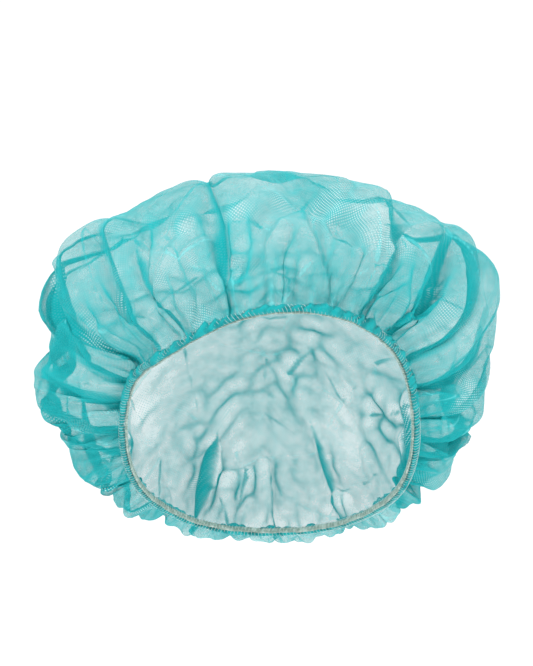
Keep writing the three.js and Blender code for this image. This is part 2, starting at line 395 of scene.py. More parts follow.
class Cloth:
    """The sheet as points held at their distances on the flat sheet, inside the cap's form."""

    # How hard a spring resists being drawn out and being pressed, along the edges and across
    # the bends, and how much of its share each point moves in a round.
    EDGE = (1.0, 0.9)
    BEND = (0.0, 0.25)
    STEP = 1.5
    # How much of the way back to the form is taken in a round.
    DRAWN_BACK = 0.5

    def __init__(self, form, folds, facets, settings, rings):
        self.form = form
        self.folds = folds
        self.settings = settings
        self.rings = rings
        self.ring, self.angle, self.faces = ring_layout(rings)
        self.up = 1 - self.ring / rings
        self.pinned = self.ring == rings
        turn = self.angle * 2 * math.pi
        out = self.ring / rings * (settings.flat_diameter / 2)
        self.flat = np.stack([out * np.sin(turn), out * np.cos(turn)], axis=1)
        self.heights, self.creases = facets.at(self.flat)
        self.laid = self.lay()
        self.edges = edges_of(self.faces)
        self.springs = [self.make_springs(self.edges, *self.EDGE),
                        self.make_springs(bend_pairs(self.faces), *self.BEND)]

    def make_springs(self, pairs, pull, push):
        """Springs that resist being drawn out by pull and pressed together by push."""
        flat = np.linalg.norm(self.flat[pairs[:, 0]] - self.flat[pairs[:, 1]], axis=1)
        laid = np.linalg.norm(self.laid[pairs[:, 0]] - self.laid[pairs[:, 1]], axis=1)
        drawn_in = 1 - np.minimum(laid / flat, 1)
        rest = flat * self.settings.slack * (1 - self.settings.fine_gathers * drawn_in)
        valence = np.bincount(pairs.ravel(), minlength=len(self.ring))
        return pairs, rest, pull, push, self.STEP / np.maximum(valence, 1)[:, None]

    def lay(self):
        """Lays the sheet over the form, a ring of it at its own share of each rib, drawn
        together where the folds are."""
        across = (self.angle + self.folds.drift(self.angle, self.up)) % 1.0 * self.form.TURNS
        return read_grid(self.form.lines, across, self.up * (self.form.RIB_STEPS - 1.001))

    def keep_inside(self, places):
        """Draws points back between the cap's outline and the deepest that a fold may fall,
        which is most at the two sides and a little more behind."""
        turn, tilt, distance = bearings(places - self.form.CENTRE)
        limit = self.form.distance(turn, tilt)
        depth = self.settings.fold_depth * (0.55 + 0.6 * np.sin(turn) ** 2 + 0.15 * (np.cos(turn) < 0))
        aim = np.clip(distance, limit - depth, limit + self.settings.bulge)
        share = 1 + self.DRAWN_BACK * (aim - distance) / distance
        free = ~self.pinned
        moved = self.form.CENTRE + (places - self.form.CENTRE) * share[:, None]
        places[free] = moved[free]

    def relax(self, places, rounds, hold):
        """Lets the springs settle. Points keep to their own ribs by hold, so the sheet buckles
        in and out and doesn't slide over itself."""
        count = len(places)
        free = (~self.pinned)[:, None]
        for _ in range(rounds):
            for pairs, rest, pull, push, weight in self.springs:
                # Each end of a spring moves half of the way.
                first, second = pairs[:, 0], pairs[:, 1]
                gap = places[second] - places[first]
                length = np.linalg.norm(gap, axis=1)
                strain = (length - rest) / np.maximum(length, 1e-9)
                strain *= np.where(strain > 0, pull, push) * 0.5
                move = gap * strain[:, None]
                total = add_up(count, first, move) - add_up(count, second, move)
                places = places + total * weight * free
            outward = places - self.form.CENTRE
            outward /= np.linalg.norm(outward, axis=1)[:, None]
            astray = self.laid - places
            astray -= outward * (astray * outward).sum(axis=1)[:, None]
            places = places + astray * hold * free
            self.keep_inside(places)
        return places


class Folds:
    """Folds that start at the hem, draw the sheet together and fade on the way up."""

    STEEP = 3.2
    GENTLE = 1.05

    def __init__(self, settings, rng):
        rows = np.array(MAIN_FOLDS, dtype=float)
        count = settings.small_folds
        # The small folds come by chance, with the same five values as the main ones.
        small = np.stack([
            rng.uniform(-180, 180, count), rng.uniform(1.2, 2.8, count), rng.normal(0, 7, count),
            rng.uniform(0.08, 0.30, count), rng.uniform(0.45, 0.8, count)], axis=1)
        rows = np.concatenate([rows, small])
        self.turn, self.wide, self.lean = rows[:, 0] / 360, rows[:, 1] / 360, rows[:, 2] / 360
        self.reach, self.draw = rows[:, 3], rows[:, 4]
        self.bend = rng.normal(0, 2.5, len(rows)) / 360

    def strengths(self, angle, up):
        """For each fold: how far points lie beside it, in its own widths, its strength there, its
        number and its width."""
        for k in range(len(self.turn)):
            climb = up / self.reach[k]
            middle = self.turn[k] + self.lean[k] * climb + self.bend[k] * np.sin(3.0 * climb)
            wide = self.wide[k] * (0.75 + 0.5 * climb)
            beside = ((angle - middle + 0.5) % 1.0 - 0.5) / wide
            yield beside, np.clip(1 - climb, 0, 1) ** 0.8, k, wide

    def slopes(self, beside, k):
        """A fold's height beside its line: the sheet doubles over on one side of it and slopes
        away on the other."""
        doubled = beside * (1 if k % 2 else -1) > 0
        return np.exp(-np.where(doubled, self.STEEP, self.GENTLE) * np.abs(beside))

    def fullness(self, k, full_width):
        """How strongly a fold draws in, less where it is narrower than the width in degrees."""
        return self.draw[k] * min(1.0, self.wide[k] * 360 / full_width)

    def drift(self, angle, up):
        """How far each point is drawn round towards the folds near it, in whole turns."""
        moved = np.zeros(len(angle))
        for beside, strength, k, wide in self.strengths(angle, up):
            moved -= self.draw[k] * strength * wide * beside * np.exp(-beside ** 2)
        return moved

    def depth(self, angle, up):
        """How far each point falls in, from 0 to about 1."""
        depth = np.zeros(len(angle))
        for beside, strength, k, _ in self.strengths(angle, up):
            depth = np.maximum(depth, self.fullness(k, 7) * strength * self.slopes(beside, k))
        return depth * np.clip(up / 0.04, 0, 1)

    def bands(self, angle, up):
        """How much the doubled sheet of each fold covers, broad at the hem and ending in a
        point, from 0 to 1."""
        broad, narrow, narrowing = 0.66, 0.16, 0.50
        cover = np.zeros(len(angle))
        for beside, _, k, wide in self.strengths(angle, up):
            climb = up / self.reach[k]
            side = beside * wide / (self.wide[k] * np.clip(broad - narrowing * climb, narrow, broad))
            deep = self.fullness(k, 6) * np.clip(3 * (1 - climb), 0, 1)
            cover = np.maximum(cover, deep * self.slopes(side, k))
        return cover


class Facets:
    """Flat facets with straight edges between scattered corners of the sheet."""

    # Creases fainter than this share don't show, and the others are this wide.
    FAINTEST = 0.45
    LINE_WIDTH = 2.7 * MM
    # The facets are looked up nearly flat, by rays from above, and raised again afterwards.
    LOWERED, RAISED = 0.01, 100

    def __init__(self, settings):
        tries_each, rim_out, rim_step = 24, 1.3, 0.4
        rng = np.random.default_rng(settings.seed + 1)
        radius = settings.flat_diameter / 2
        corners = []
        # Two corners of three are the farthest of some tries from the others, so few are tiny.
        while len(corners) < settings.facets:
            tries = rng.uniform(-radius, radius, (tries_each, 2))
            near = [min((np.linalg.norm(t - c) for c in corners), default=1.0) for t in tries]
            corners.append(tries[int(np.argmax(near))] if len(corners) % 3 else tries[0])
        heights = rng.uniform(-1, 1, len(corners))
        rim = [(rim_out * radius * math.cos(a), rim_out * radius * math.sin(a))
               for a in np.arange(0, 2 * math.pi, rim_step)]
        points = [Vector(c) for c in (*map(tuple, corners), *rim)]
        heights = np.concatenate([heights, np.zeros(len(rim))])
        spots, _, faces, origins, _, _ = delaunay_2d_cdt(points, [], [], 0, 1e-6)
        self.spots = np.array([tuple(v) for v in spots])
        self.faces = [tuple(f) for f in faces]
        raised = [(v.x, v.y, heights[origins[k][0]] * self.LOWERED) for k, v in enumerate(spots)]
        self.tree = BVHTree.FromPolygons(raised, self.faces)
        self.lines = {}
        for face in self.faces:
            for first, second in zip(face, face[1:] + face[:1]):
                key = (min(first, second), max(first, second))
                if key not in self.lines:
                    self.lines[key] = (rng.uniform(-1, 1), rng.uniform(0, 1))

    def at(self, flat):
        """Height, from -1 to 1, and the mark of the creases, from valley -1 to ridge 1, at points of
        the flat sheet."""
        heights, marks = np.empty(len(flat)), np.zeros(len(flat))
        down = Vector((0, 0, -1))
        inside = np.empty(len(flat), dtype=int)
        for k, (x, y) in enumerate(flat):
            place, _, face, _ = self.tree.ray_cast(Vector((x, y, 1.0)), down)
            heights[k], inside[k] = place.z * self.RAISED, face
        for index, face in enumerate(self.faces):
            here = np.where(inside == index)[0]
            for first, second in zip(face, face[1:] + face[:1]):
                key = (min(first, second), max(first, second))
                strength, end = self.lines[key]
                if abs(strength) < self.FAINTEST:
                    continue
                start, along = self.spots[key[0]], self.spots[key[1]] - self.spots[key[0]]
                share = ((flat[here] - start) @ along) / (along @ along)
                gap = np.linalg.norm(flat[here] - start - np.clip(share, 0, 1)[:, None] * along, axis=1)
                # A crease fades towards one of its ends and away from its line.
                taper = 0.65 + 0.35 * (share if end > 0.5 else 1 - share).clip(0, 1)
                mark = np.sign(strength) * np.clip(1.7 * taper - 0.7 - gap / self.LINE_WIDTH, 0, 1)
                stronger = np.abs(mark) > np.abs(marks[here])
                marks[here[stronger]] = mark[stronger]
        return heights, marks


def crumple(form, settings):
    """Simulates the sheet on three meshes, each twice as fine as the last."""
    unevenness = 0.0004
    first_rounds, first_hold = 70, 0.05
    finer_rounds, finer_hold = (60, 30), 0.04
    rng = np.random.default_rng(settings.seed)
    folds, facets = Folds(settings, rng), Facets(settings)
    cloth = Cloth(form, folds, facets, settings, settings.rings // 4)
    places = shape_folds(cloth)
    places += rng.normal(0, unevenness, places.shape) * (~cloth.pinned)[:, None]
    places = cloth.relax(places, first_rounds, first_hold)
    for rounds in finer_rounds:
        fine = Cloth(form, folds, facets, settings, cloth.rings * 2)
        places = refine(places, cloth.rings, fine.ring, fine.angle)
        places[fine.pinned] = fine.laid[fine.pinned]
        cloth = fine
        if cloth.rings == settings.rings:
            places = gather(cloth, places)
        places = cloth.relax(places, rounds, finer_hold)
    places = reach_outline(cloth, smooth_sheet(cloth, places))
    return cloth, sharpen(cloth, places)


def shape_folds(cloth):
    """Lets the folds and the facets fall in from the form."""
    facet_middle, facet_range = 0.3, 0.5
    settings = cloth.settings
    inward = cloth.form.CENTRE - cloth.laid
    inward /= np.linalg.norm(inward, axis=1)[:, None]
    depth = cloth.folds.depth(cloth.angle, cloth.up) * settings.fold_depth
    facets = (facet_middle + facet_range * cloth.heights) * settings.facet_height
    depth += facets * np.clip(cloth.up / 0.12, 0, 1)
    return cloth.laid + inward * (depth * ~cloth.pinned)[:, None]


def gather(cloth, places):
    """Pleats the sheet along the hem, finest at its edge, and running further up in places."""
    turn, up = cloth.angle * 2 * math.pi, cloth.up
    count = cloth.settings.gathers
    # The pleats' spacing, height and slant vary round the hem.
    wobble = 0.9 * np.sin(5 * turn + 1.0) + 0.6 * np.sin(11 * turn) + 0.5 * np.sin(17 * turn + 2.0)
    length = 0.13 + 0.045 * np.sin(7 * turn + 0.6) + 0.035 * np.sin(13 * turn + 2.1)
    lean = up * (6.0 * np.sin(3 * turn + 1.3) + 9.0 * np.sin(8 * turn))
    fine = np.sin(count * turn + wobble + lean)
    coarse = np.sin(count * 0.5 * turn + 2 * wobble + lean)
    fade = np.clip(1 - up / length, 0, 1)
    far = np.clip(1 - up / (2.2 * length), 0, 1)
    wave = 0.55 * fine * fade ** 1.3 + 0.65 * coarse * far ** 1.5 * np.clip(up / 0.03, 0, 1)
    return places + vertex_normals(places, cloth.faces) * (wave * cloth.settings.gather_depth)[:, None]


def smooth_sheet(cloth, places):
    """Takes out the shortest waves, least near the hem, and leaves longer creases."""
    draw_in, let_out, least = 0.5, -0.42, 0.30
    free = (~cloth.pinned * np.clip(least + (cloth.up - 0.10) / 0.25, least, 1.0))[:, None]
    for _ in range(cloth.settings.smoothing):
        for step in (draw_in, let_out):
            places = places + (neighbour_mean(places, cloth.edges) - places) * free * step
    return places


def reach_outline(cloth, places):
    """Swells the sheet evenly until its highest folds reach the cap's outline again."""
    columns, rows = 48, 16
    # A patch counts where more than so many points lie in it, and reaches as far as this
    # percentile of them.
    fewest, highest = 8, 84
    least, most = 0.97, 1.14
    form = cloth.form
    turn, tilt, distance = bearings(places - form.CENTRE)
    share = distance / form.distance(turn, tilt)
    across = steps_round(turn, columns)
    column = across.astype(int) % columns
    up = form.steps_up(tilt, rows).clip(0, rows - 1)
    grid = np.ones((columns, rows))
    for i in range(columns):
        for j in range(rows):
            near = (column == i) & (np.abs(up - j) < 0.7)
            if near.sum() > fewest:
                grid[i, j] = np.percentile(share[near], highest)
    swell = 1 / read_grid(blur_round(grid, 0.8), across - 0.5, up)
    swell = 1 + (np.clip(swell, least, most) - 1) * np.clip(cloth.up / 0.10, 0, 1)
    return form.CENTRE + (places - form.CENTRE) * swell[:, None]


def sharpen(cloth, places):
    """Gives the facets and the main folds their edges back, which the settling rounds off."""
    deepest = 0.4
    move = cloth.heights * cloth.settings.sharpness * np.clip(cloth.up / 0.15, 0, 1)
    creased = np.minimum(cloth.folds.depth(cloth.angle, cloth.up), deepest) * cloth.settings.fold_edge
    move += creased * np.clip((cloth.up - 0.06) / 0.24, 0, 1)
    return places - vertex_normals(places, cloth.faces) * move[:, None]


class CapHemSettings(bpy.types.PropertyGroup):
    """The bunched hem and the elastic inside it."""

    height: length_setting("Hem height", "The bunched hem's height along the opening's axis", 0.0044)
    thickness: length_setting("Hem thickness", "The bunched hem's thickness", 0.0026)
    ruffle: length_setting("Ruffle", "How far the hem's small tucks stand up", 0.0013)
    elastic_width: length_setting("Elastic width", "The flat elastic's width", 0.0030)
    elastic_thickness: length_setting("Elastic thickness", "The flat elastic's thickness", 0.0012)
    hem_colour: colour_setting("Hem colour", "The bunched nonwoven's colour", (0.0, 0.43, 0.45))
    elastic_colour: colour_setting("Elastic colour", "The covered elastic's colour", (0.33, 0.47, 0.41))


class CapStitchSettings(bpy.types.PropertyGroup):
    """The overlock thread round the hem."""

    pitch: length_setting("Pitch", "Distance between two loops of thread", 0.0021)
    thread_radius: length_setting("Thread radius", "Half the thread's thickness", 0.00009)
    slant: bpy.props.FloatProperty(
        name="Slant", description="How far each loop leans along the hem",
        default=math.radians(24.0), subtype="ANGLE")
    colour: colour_setting("Thread colour", "The thread's colour", (0.42, 0.66, 0.62))


class CapStageSettings(bpy.types.PropertyGroup):
    """The floor, the light and the camera."""

    floor_drop: length_setting("Floor drop", "How far the floor lies below the opening", 0.42)
    distance: length_setting("Camera distance", "From the camera to the opening's middle", 1.8)
    light: bpy.props.FloatProperty(
        name="Light", description="Strength of the light from all round", default=0.92)


def new_mesh_object(name, places, faces, material):
    """A smoothly shaded mesh object from arrays, at the origin, with one material."""
    mesh = bpy.data.meshes.new(name)
    mesh.from_pydata(places.tolist(), [], faces.tolist())
    mesh.polygons.foreach_set("use_smooth", [True] * len(mesh.polygons))
    mesh.materials.append(material)
    obj = bpy.data.objects.new(name, mesh)
    bpy.context.collection.objects.link(obj)
    return obj


def declare(obj, node=None):
    """Lets a piece ride on the cap's body, for its solid where it has one."""
    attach(obj, ROOT)
    if node:
        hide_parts(node)


def new_group(name, inputs, outputs):
    """A shader node group with named sockets, and its two ends."""
    group = bpy.data.node_groups.new(name, "ShaderNodeTree")
    for label, kind, value in inputs:
        socket = group.interface.new_socket(label, in_out="INPUT", socket_type="NodeSocket" + kind)
        if value is not None:
            socket.default_value = value
    for label, kind in outputs:
        group.interface.new_socket(label, in_out="OUTPUT", socket_type="NodeSocket" + kind)
    return group, group.nodes.new("NodeGroupInput"), group.nodes.new("NodeGroupOutput")


class Nodes:
    """A short way to add nodes to a tree and link them."""

    def __init__(self, tree):
        self.tree = tree

    def put(self, socket, value):
        """Links a socket to another one, or gives it a value."""
        if isinstance(value, bpy.types.NodeSocket):
            self.tree.links.new(value, socket)
        else:
            socket.default_value = value

    def fill(self, node, **links):
        """Puts values into a node's sockets: Base_Color by its name, _0 by its number."""
        for key, value in links.items():
            self.put(node.inputs[int(key[1:]) if key[1:].isdigit() else key.replace("_", " ")], value)
        return node

    def add(self, kind, settings=None, **links):
        """Adds a node, with its settings and what goes into its sockets."""
        node = self.tree.nodes.new(kind)
        for key, value in (settings or {}).items():
            setattr(node, key, value)
        return self.fill(node, **links)

    def group(self, name, build, **links):
        """Adds a shared node group, which is built at its first use."""
        tree = bpy.data.node_groups.get(name) or build()
        return self.add("ShaderNodeGroup", {"node_tree": tree}, **links)

    def math(self, operation, first, second=None, clamp=False):
        """Works out one or two values."""
        node = self.add("ShaderNodeMath", {"operation": operation, "use_clamp": clamp}, _0=first)
        if second is not None:
            self.put(node.inputs[1], second)
        return node.outputs[0]

    def ramp(self, value, low, high, to_low=0.0, to_high=1.0):
        """A smooth step from one value to another."""
        return self.add(
            "ShaderNodeMapRange", {"interpolation_type": "SMOOTHSTEP"}, Value=value, From_Min=low,
            From_Max=high, To_Min=to_low, To_Max=to_high).outputs[0]

    def mix(self, factor, first, second):
        """The first colour, turned towards the second by a factor."""
        return self.add("ShaderNodeMix", {"data_type": "RGBA"}, _0=factor, _6=first, _7=second).outputs[2]

    def mark(self, name):
        """A value that is stored at the piece's vertices."""
        return self.add("ShaderNodeAttribute", {"attribute_name": name}).outputs["Fac"]

    def place(self):
        """The place on the piece."""
        return self.add("ShaderNodeTexCoord").outputs["Object"]

    def noise(self, place, scale, detail, roughness=0.5):
        """Soft cloudy noise."""
        return self.add(
            "ShaderNodeTexNoise", Vector=place, Scale=scale, Detail=detail, Roughness=roughness).outputs[0]

    def bump(self, height, strength, distance):
        """A normal that stands up with a height."""
        return self.add("ShaderNodeBump", Height=height, Strength=strength, Distance=distance).outputs[0]


def bonding_group():
    """The bonding points that the calender presses into spunbond, in staggered rows."""
    group, start, end = new_group(
        "bonding_points", [("Vector", "Vector", None), ("Pitch", "Float", 0.0018), ("Size", "Float", 0.34)],
        [("Point", "Float")])
    n = Nodes(group)
    split = n.add("ShaderNodeSeparateXYZ", _0=start.outputs["Vector"])
    across = n.math("DIVIDE", split.outputs[0], start.outputs["Pitch"])
    along = n.math("DIVIDE", split.outputs[1], start.outputs["Pitch"])
    # A square lattice turned by 45 degrees to the sheet makes the staggered rows.
    u = n.math("SUBTRACT", n.math("FRACT", n.math("ADD", across, along)), 0.5)
    v = n.math("SUBTRACT", n.math("FRACT", n.math("SUBTRACT", across, along)), 0.5)
    far = n.math("SQRT", n.math("ADD", n.math("MULTIPLY", u, u), n.math("MULTIPLY", v, v)))
    size = start.outputs["Size"]
    n.fill(end, Point=n.ramp(far, size, n.math("MULTIPLY", size, 0.6)))
    return group


def fibre_group():
    """Short stray fibres and the cloudy thick and thin places between them."""
    group, start, end = new_group(
        "spun_fibres", [("Vector", "Vector", None)], [("Fibre", "Float"), ("Cloud", "Float")])
    n = Nodes(group)
    place = start.outputs["Vector"]
    strands = []
    for turn, shift in ((0.3, 0.0), (1.4, 3.1), (2.5, 7.7)):
        turned = n.add(
            "ShaderNodeMapping", Vector=place, Location=(shift, shift * 0.5, 0), Rotation=(0, 0, turn),
            Scale=(2600.0, 260.0, 260.0))
        strands.append(n.math("ABSOLUTE", n.math("SUBTRACT", n.noise(turned.outputs[0], 1.0, 2.0), 0.5)))
    least = n.math("MINIMUM", n.math("MINIMUM", strands[0], strands[1]), strands[2])
    n.fill(end, Fibre=n.ramp(least, 0.035, 0.0), Cloud=n.noise(place, 150.0, 4.0, 0.6))
    return group


def new_material(name):
    """A material, its nodes and its shader."""
    material = bpy.data.materials.new(name)
    material.use_nodes = True
    shader = material.node_tree.nodes["Principled BSDF"]
    return material, Nodes(material.node_tree), shader


def nonwoven_material(settings):
    """Thin spunbond: clear between its fibres, deeper where the sheet is bunched. Its colour holds painted
    highlights on the bonding points and the creases' ridges, and painted shade in the creases' valleys.
    """
    deep, pale = (0.0, 0.40, 0.42, 1.0), (0.10, 0.54, 0.56, 1.0)
    # Two pale colours of painted light: a highlight along the creases' ridges, and a glint on the bonding
    # points.
    painted_ridge_highlight, painted_glint_colour = (0.15, 0.70, 0.72, 1.0), (0.66, 0.92, 0.92, 1.0)
    material, n, shader = new_material("teal_nonwoven")
    uv = n.add("ShaderNodeUVMap", {"uv_map": "flat_sheet"}).outputs[0]
    flat = n.add(
        "ShaderNodeVectorMath", {"operation": "SCALE"}, _0=uv, Scale=settings.flat_diameter).outputs[0]
    points = n.group("bonding_points", bonding_group, Vector=flat, Pitch=0.0021, Size=0.33)
    fibres = n.group("spun_fibres", fibre_group, Vector=flat)
    stray = n.math("MULTIPLY", fibres.outputs["Fibre"], 0.18)
    # Painted glint: the bonding points are lightened towards near-white in patches of noise, whichever way
    # the sheet faces the light.
    patch = n.ramp(n.noise(flat, 21.0, 1.0), 0.56, 0.67, 0.07, 1.0)
    glint = n.math("MULTIPLY", points.outputs["Point"], patch)
    bunch, folded = n.mark("bunch"), n.ramp(n.mark("fold"), 0.22, 0.66)
    # The creases' ridges and valleys thicken the sheet, and they also paint light: a highlight on the
    # ridges and shade in the valleys.
    ridge, valley = n.ramp(n.mark("crease"), 0.62, 0.84), n.ramp(n.mark("crease"), 0.38, 0.17)
    facing = n.add("ShaderNodeLayerWeight", Blend=0.35).outputs["Facing"]
    # How many flat layers the sheet looks like.
    layers = n.math("ADD", bunch, n.math("MULTIPLY", folded, 8.0))
    layers = n.math("MULTIPLY", layers, n.ramp(fibres.outputs["Cloud"], 0.3, 0.7, 0.82, 1.2))
    layers = n.math("MULTIPLY", layers, n.ramp(n.mark("facet"), -0.8, 0.8, 0.68, 1.45))
    layers = n.math("MULTIPLY", layers, n.ramp(facing, 0.5, 1.0, 1.0, 2.0))
    layers = n.math("ADD", layers, n.math("MULTIPLY", ridge, 0.8))
    layers = n.math("ADD", layers, n.math("MULTIPLY", valley, 2.6))
    layers = n.math("ADD", layers, stray)
    clear = n.math("POWER", settings.clearness, layers)
    base = n.mix(n.ramp(bunch, 1.3, 2.8), (*settings.colour, 1.0), deep)
    base = n.mix(folded, base, deep)
    # Painted shade in the creases' valleys.
    base = n.mix(n.math("MULTIPLY", valley, 0.8), base, deep)
    base = n.mix(stray, base, pale)
    # Painted highlight along the creases' ridges.
    base = n.mix(n.math("MULTIPLY", ridge, 0.7), base, painted_ridge_highlight)
    # Painted highlight: the glint on the bonding points.
    base = n.mix(n.math("MULTIPLY", glint, 0.85), base, painted_glint_colour)
    height = n.math("SUBTRACT", n.math("MULTIPLY", fibres.outputs["Fibre"], 0.3), points.outputs["Point"])
    n.fill(
        shader, Base_Color=base, Alpha=n.math("SUBTRACT", 1.0, clear, clamp=True),
        Roughness=n.ramp(glint, 0.0, 1.0, 0.66, 0.32), Sheen_Weight=0.02, Specular_IOR_Level=0.06,
        Normal=n.bump(height, 0.25, 0.0001))
    return material


def bunched_material(settings):
    """The hem's nonwoven, many layers thick, so nearly closed and deep in colour."""
    shaded, pale = (0.0, 0.25, 0.27, 1.0), (0.10, 0.62, 0.64, 1.0)
    material, n, shader = new_material("bunched_nonwoven")
    fibres = n.group("spun_fibres", fibre_group, Vector=n.place())
    base = n.mix(n.ramp(n.mark("tuck"), 0.1, 0.8), shaded, (*settings.hem_colour, 1.0))
    base = n.mix(n.math("MULTIPLY", fibres.outputs["Fibre"], 0.35), base, pale)
    n.fill(
        shader, Base_Color=base, Alpha=n.ramp(fibres.outputs["Cloud"], 0.25, 0.6, 0.78, 0.97),
        Roughness=0.75, Sheen_Weight=0.05, Specular_IOR_Level=0.12,
        Normal=n.bump(fibres.outputs["Fibre"], 0.5, 0.0002))
    return material


def elastic_material(settings):
    """Flat covered elastic with fine ribs across it, grey-green and slightly clear."""
    rib_pitch = 0.0008
    shaded, pale = (0.20, 0.33, 0.28, 1.0), (0.50, 0.62, 0.56, 1.0)
    material, n, shader = new_material("covered_elastic")
    rib = n.ramp(n.math("SINE", n.math("MULTIPLY", n.mark("along"), 2 * math.pi / rib_pitch)), -1.0, 1.0)
    cloud = n.noise(n.place(), 420.0, 3.0)
    base = n.mix(rib, shaded, (*settings.elastic_colour, 1.0))
    n.fill(
        shader, Base_Color=n.mix(n.ramp(cloud, 0.4, 0.7), base, pale), Roughness=0.6,
        Alpha=n.ramp(cloud, 0.2, 0.8, 0.80, 0.95), Normal=n.bump(rib, 0.4, 0.0001))
    return material


def thread_material(settings):
    """Fine twisted thread."""
    material, n, shader = new_material("overlock_thread")
    wave = n.noise(n.place(), 2200.0, 2.0)
    base = n.mix(n.ramp(wave, 0.35, 0.65), (*settings.colour, 1.0), (0.80, 0.90, 0.88, 1.0))
    n.fill(shader, Base_Color=base, Roughness=0.5, Normal=n.bump(wave, 0.4, 0.00005))
    return material


def floor_material():
    """Plain pale paper, which isn't seen from behind."""
    material, n, shader = new_material("pale_floor")
    cloud = n.ramp(n.noise(n.place(), 3.0, 2.0), 0.2, 0.8)
    behind = n.add("ShaderNodeNewGeometry").outputs["Backfacing"]
    n.fill(
        shader, Base_Color=n.mix(cloud, (0.93, 0.93, 0.93, 1.0), (0.96, 0.96, 0.96, 1.0)), Roughness=0.9,
        Alpha=n.math("SUBTRACT", 1.0, behind))
    return material


def vertex_areas(places, faces):
    """The mean area round each vertex, doubled."""
    areas = np.repeat(np.linalg.norm(triangle_normals(places, faces), axis=1), 3)
    corners = faces.ravel()
    return np.bincount(corners, weights=areas, minlength=len(places)) / np.bincount(corners)


def crown_marks(cloth, places):
    """How bunched the sheet is at each vertex, how sharply it is creased, ridges above a half
    and valleys below, how much of a fold's doubled sheet lies there, and how far in its facet
    lies."""
    sharpest = 0.0005
    least_bunched, most_bunched = 0.6, 5.0
    # The shares of a crease that come from the mesh and from the facets' own edges.
    curved, drawn = 0.34, 0.66
    flat = np.pad(cloth.flat, ((0, 0), (0, 1)))
    bunch = vertex_areas(flat, cloth.faces) / np.maximum(vertex_areas(places, cloth.faces), 1e-12)
    proud = places - neighbour_mean(places, cloth.edges)
    ridge = (proud * vertex_normals(places, cloth.faces)).sum(axis=1) / sharpest
    crease = np.clip(ridge, -1, 1) * curved + cloth.creases * drawn
    return {
        "bunch": np.clip(bunch, least_bunched, most_bunched),
        "crease": np.clip(0.5 + 0.5 * crease, 0, 1),
        "fold": np.clip(cloth.folds.bands(cloth.angle, cloth.up), 0, 1), "facet": cloth.heights}


def set_marks(mesh, **marks):
    """Stores named values at the vertices."""
    for name, values in marks.items():
        mesh.attributes.new(name, "FLOAT", "POINT").data.foreach_set("value", values)


def set_flat_uv(mesh, flat, diameter):
    """Maps each vertex to its place on the flat sheet."""
    layer = mesh.uv_layers.new(name="flat_sheet")
    corners = np.empty(len(mesh.loops), dtype=np.int32)
    mesh.loops.foreach_get("vertex_index", corners)
    layer.data.foreach_set("uv", (flat[corners] / diameter + 0.5).ravel())


def make_crown(context):
    """The crumpled sheet, over the crown solid."""
    settings = context.scene.cap_sheet
    cloth, places = crumple(cap_form(), settings)
    faces = cloth.faces[:, ::-1]
    crown = new_mesh_object("puffed_crown", to_world(places), faces, nonwoven_material(settings))
    set_marks(crown.data, **crown_marks(cloth, places))
    set_flat_uv(crown.data, cloth.flat, settings.flat_diameter)
    declare(crown, "crown")


def along_hem(stations):
    """The hem's mid line at so many turns, in the opening's frame: the turns, the places, the
    outward ways and the length so far."""
    form = cap_form()
    turns = np.arange(stations) * 2 * math.pi / stations
    line = read_ring(form.hem_line, steps_round(turns, form.TURNS))
    outward = np.stack([np.sin(turns), np.cos(turns), np.zeros_like(turns)], axis=1)
    middle = outward * line[:, :1]
    middle[:, 2] = line[:, 1]
    steps = np.linalg.norm(np.diff(middle, axis=0, append=middle[:1]), axis=1)
    return turns, middle, outward, np.concatenate([[0], np.cumsum(steps)[:-1]])


def new_tube(name, places, material):
    """A closed tube round the opening, from a ring of points at each station."""
    stations, sides, _ = places.shape
    i, j = np.meshgrid(np.arange(stations), np.arange(sides), indexing="ij")
    nxt, up = (i + 1) % stations, (j + 1) % sides
    faces = np.stack([i * sides + j, nxt * sides + j, nxt * sides + up, i * sides + up], axis=-1)
    return new_mesh_object(name, to_world(places.reshape(-1, 3)), faces.reshape(-1, 4), material)


def make_hem(context):
    """The bunched hem: a collar whose skin is all small tucks, ragged along its upper edge."""
    settings = context.scene.cap_hem
    stations, sides = 1800, 14
    seed = 11
    turns, middle, outward, _ = along_hem(stations)
    rng = np.random.default_rng(seed)

    def rough(sigma):
        """A random wave round the hem, about as long as so many stations."""
        wave = blur_round(rng.normal(0, 1, (stations, 1)), sigma)[:, 0]
        return np.clip(wave / (1.6 * wave.std()), -1.2, 1.2)

    tucks, thick, slow = rough(2.2), rough(9.0), rough(34.0)
    # At the brow the tucks stand out as well as up.
    front = np.clip(np.cos(turns) * 1.6, 0, 1)
    places = np.zeros((stations, sides, 3))
    tuck = np.zeros((stations, sides))
    for j in range(sides):
        around = 2 * math.pi * j / sides
        above = max(0.0, math.sin(around))
        fine = np.roll(tucks, int(4 * math.sin(2 * around)))
        out = settings.thickness / 2 * math.cos(around) * (1 + 0.35 * thick + 0.30 * fine)
        out += front * max(0.0, math.cos(around)) * settings.ruffle * (0.9 + 0.6 * fine)
        lift = settings.height / 2 * math.sin(around) * (0.72 + 0.30 * slow + 0.15 * thick)
        lift += settings.ruffle * (above * (0.5 + 0.5 * thick + 0.9 * fine) + 0.2 * fine * (1 - above))
        places[:, j] = middle + outward * out[:, None]
        places[:, j, 2] += lift
        tuck[:, j] = 0.5 + 0.5 * fine
    hem = new_tube("bunched_hem", places, bunched_material(settings))
    set_marks(hem.data, tuck=tuck.ravel())
    declare(hem, "gathered_hem")


def squared(value):
    """A sine or cosine drawn out, so that a circle becomes a rounded square."""
    return math.copysign(abs(value) ** 0.5, value)


